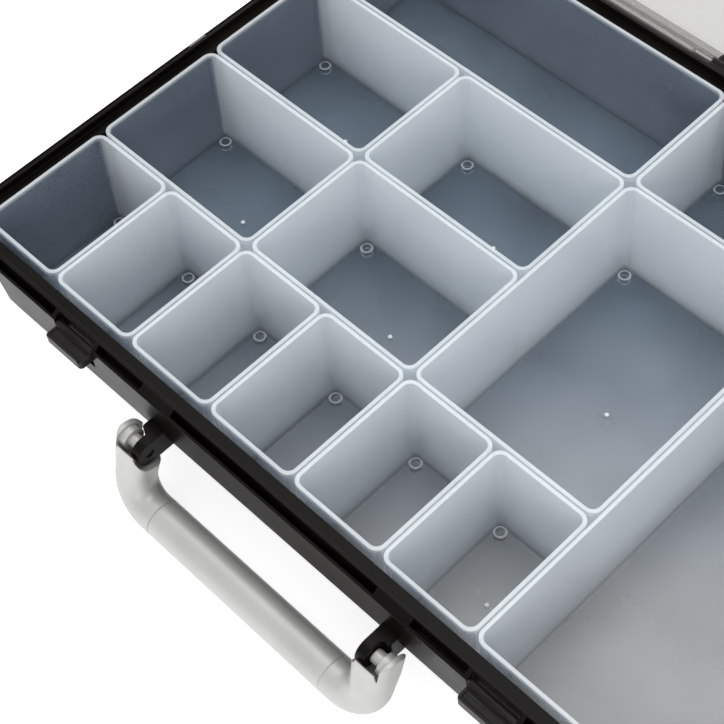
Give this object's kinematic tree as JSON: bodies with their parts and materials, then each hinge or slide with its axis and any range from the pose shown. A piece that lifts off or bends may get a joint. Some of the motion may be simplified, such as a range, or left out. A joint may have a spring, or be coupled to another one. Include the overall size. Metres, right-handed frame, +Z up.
{
  "type": "portable assortment case",
  "caption": "Flat carry case opened out: lift-out storage bins in a moulded tray, a hinged clear lid lying level behind, front latches and a swinging carry handle.",
  "frame": {"origin": "centre of the case's underside", "axes": "+Z up, -Y towards the handle and latches, +X to the right of someone facing the handle side"},
  "size_m": [0.3344, 0.5006, 0.049],
  "materials": {
    "case_black": "gloss",
    "latch_black": "satin",
    "bin_clear": "translucent",
    "lid_clear": "clear",
    "handle_silver": "satin",
    "steel_pin": "satin"
  },
  "bodies": {
    "case": {"case_base": "case_black", "handle_bracket_left": "case_black", "handle_bracket_right": "case_black", "hinge_pin_left": "steel_pin", "hinge_pin_centre": "steel_pin", "hinge_pin_right": "steel_pin", "latch_pin_left": "steel_pin", "latch_pin_right": "steel_pin", "handle_pin_left": "steel_pin", "handle_pin_right": "steel_pin"},
    "lid": {"lid": "lid_clear"},
    "latch_left": {"latch_left": "latch_black"},
    "latch_right": {"latch_right": "latch_black"},
    "handle": {"handle_grip": "handle_silver", "handle_end_left": "handle_silver", "handle_end_right": "handle_silver"},
    "bin_single_1": {"bin_single_1": "bin_clear"},
    "bin_single_2": {"bin_single_2": "bin_clear"},
    "bin_single_3": {"bin_single_3": "bin_clear"},
    "bin_single_4": {"bin_single_4": "bin_clear"},
    "bin_single_5": {"bin_single_5": "bin_clear"},
    "bin_single_6": {"bin_single_6": "bin_clear"},
    "bin_wide_1": {"bin_wide_1": "bin_clear"},
    "bin_wide_2": {"bin_wide_2": "bin_clear"},
    "bin_wide_3": {"bin_wide_3": "bin_clear"},
    "bin_wide_4": {"bin_wide_4": "bin_clear"},
    "bin_wide_5": {"bin_wide_5": "bin_clear"},
    "bin_square_1": {"bin_square_1": "bin_clear"},
    "bin_long_1": {"bin_long_1": "bin_clear"},
    "bin_deep_1": {"bin_deep_1": "bin_clear"}
  },
  "joints": [
    {"name": "lid_hinge", "type": "hinge", "parent": "case", "child": "lid", "pos_m": [0, 0.1206, 0.04525], "axis": [-1, 0, 0], "range_deg": [-180, 0]},
    {"name": "latch_left_hinge", "type": "hinge", "parent": "case", "child": "latch_left", "pos_m": [-0.0957, -0.1181, 0.044], "axis": [1, 0, 0], "range_deg": [-90, 0]},
    {"name": "latch_right_hinge", "type": "hinge", "parent": "case", "child": "latch_right", "pos_m": [0.0957, -0.1181, 0.044], "axis": [1, 0, 0], "range_deg": [-90, 0]},
    {"name": "handle_hinge", "type": "hinge", "parent": "case", "child": "handle", "pos_m": [0, -0.1268, 0.03], "axis": [-1, 0, 0], "range_deg": [-15, 100]},
    {"name": "bin_single_1_lift", "type": "slide", "parent": "case", "child": "bin_single_1", "axis": [0, 0, 1], "range_m": [0, 0.06]},
    {"name": "bin_single_2_lift", "type": "slide", "parent": "case", "child": "bin_single_2", "axis": [0, 0, 1], "range_m": [0, 0.06]},
    {"name": "bin_single_3_lift", "type": "slide", "parent": "case", "child": "bin_single_3", "axis": [0, 0, 1], "range_m": [0, 0.06]},
    {"name": "bin_single_4_lift", "type": "slide", "parent": "case", "child": "bin_single_4", "axis": [0, 0, 1], "range_m": [0, 0.06]},
    {"name": "bin_single_5_lift", "type": "slide", "parent": "case", "child": "bin_single_5", "axis": [0, 0, 1], "range_m": [0, 0.06]},
    {"name": "bin_single_6_lift", "type": "slide", "parent": "case", "child": "bin_single_6", "axis": [0, 0, 1], "range_m": [0, 0.06]},
    {"name": "bin_wide_1_lift", "type": "slide", "parent": "case", "child": "bin_wide_1", "axis": [0, 0, 1], "range_m": [0, 0.06]},
    {"name": "bin_wide_2_lift", "type": "slide", "parent": "case", "child": "bin_wide_2", "axis": [0, 0, 1], "range_m": [0, 0.06]},
    {"name": "bin_wide_3_lift", "type": "slide", "parent": "case", "child": "bin_wide_3", "axis": [0, 0, 1], "range_m": [0, 0.06]},
    {"name": "bin_wide_4_lift", "type": "slide", "parent": "case", "child": "bin_wide_4", "axis": [0, 0, 1], "range_m": [0, 0.06]},
    {"name": "bin_wide_5_lift", "type": "slide", "parent": "case", "child": "bin_wide_5", "axis": [0, 0, 1], "range_m": [0, 0.06]},
    {"name": "bin_square_1_lift", "type": "slide", "parent": "case", "child": "bin_square_1", "axis": [0, 0, 1], "range_m": [0, 0.06]},
    {"name": "bin_long_1_lift", "type": "slide", "parent": "case", "child": "bin_long_1", "axis": [0, 0, 1], "range_m": [0, 0.06]},
    {"name": "bin_deep_1_lift", "type": "slide", "parent": "case", "child": "bin_deep_1", "axis": [0, 0, 1], "range_m": [0, 0.06]}
  ]
}
